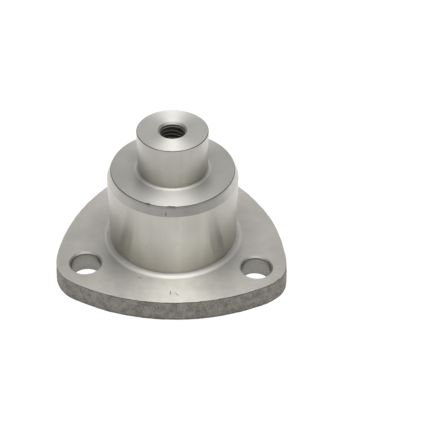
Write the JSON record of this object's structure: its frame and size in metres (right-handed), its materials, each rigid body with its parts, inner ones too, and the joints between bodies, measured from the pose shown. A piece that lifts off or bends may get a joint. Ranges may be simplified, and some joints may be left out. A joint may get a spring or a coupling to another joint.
{
  "type": "front axle pivot pin",
  "caption": "Lobed bolting flange with a wide journal, a long lead-in, a slimmer end journal and a tapped grease port in its free end.",
  "frame": {"origin": "on the journals' axis, in the plane of the flange's underside", "axes": "+Z along the journals towards the free end with the grease port; +Y through the rear lobe of the flange"},
  "size_m": [0.0828, 0.0829, 0.0548],
  "materials": {
    "steel": "turned faces and journals, with a raw dark edge round the flange"
  },
  "bodies": {
    "root": {"pivot_pin": "steel"}
  },
  "joints": []
}
